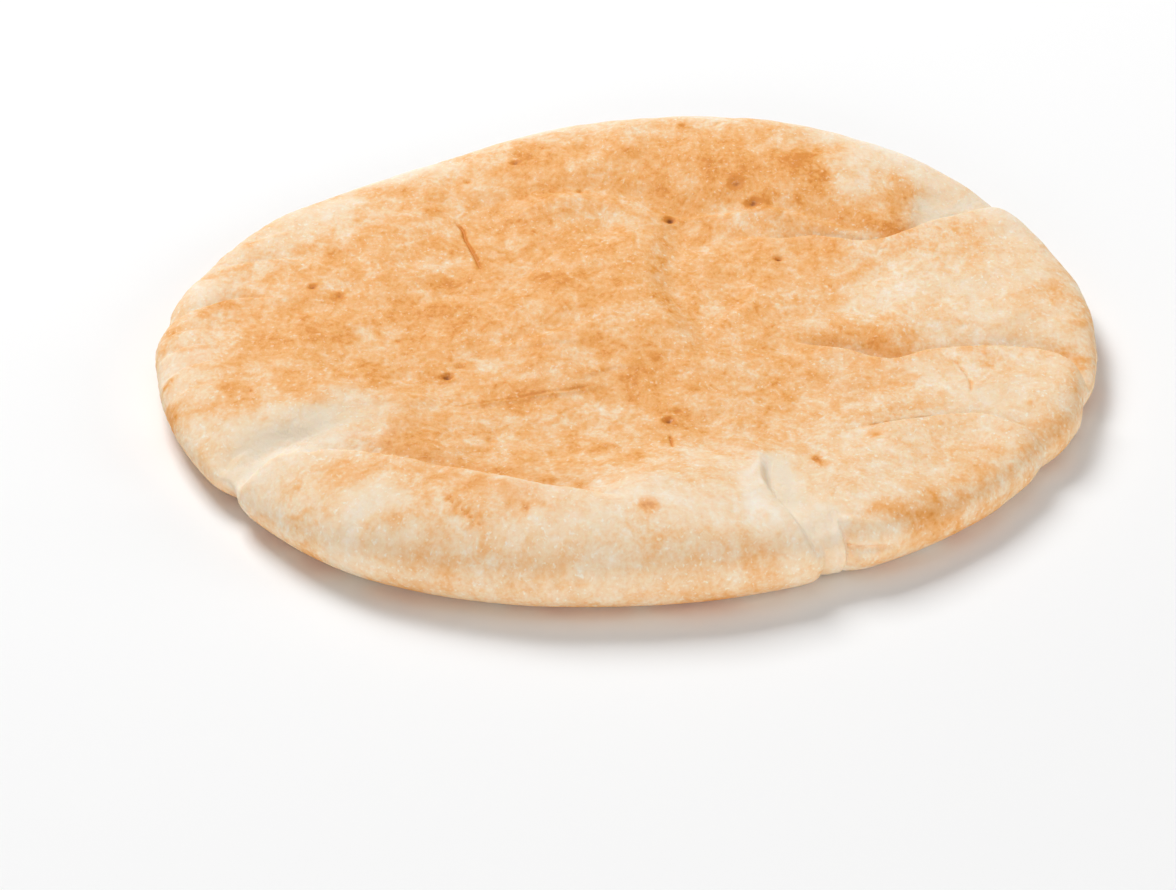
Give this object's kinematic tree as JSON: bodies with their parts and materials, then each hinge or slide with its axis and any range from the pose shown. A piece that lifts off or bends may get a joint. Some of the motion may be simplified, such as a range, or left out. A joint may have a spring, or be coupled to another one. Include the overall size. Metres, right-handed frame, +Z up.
{
  "type": "pita bread",
  "caption": "Round puffed pita flatbread lying flat, with a raised, folded rim around a shallow dished crust and a flat underside.",
  "frame": {"origin": "middle of the flat underside, at the bread's lowest level, centred in X and Y on its bounding box", "axes": "+Z up out of the upper crust; +X to the viewer's right; +Y away from the viewer, so the puffed front rim is at -Y"},
  "size_m": [0.1822, 0.1818, 0.0166],
  "materials": {
    "baked_crust": "matt, floury baked crust"
  },
  "bodies": {
    "root": {"pita_bread": "baked_crust"}
  },
  "joints": []
}
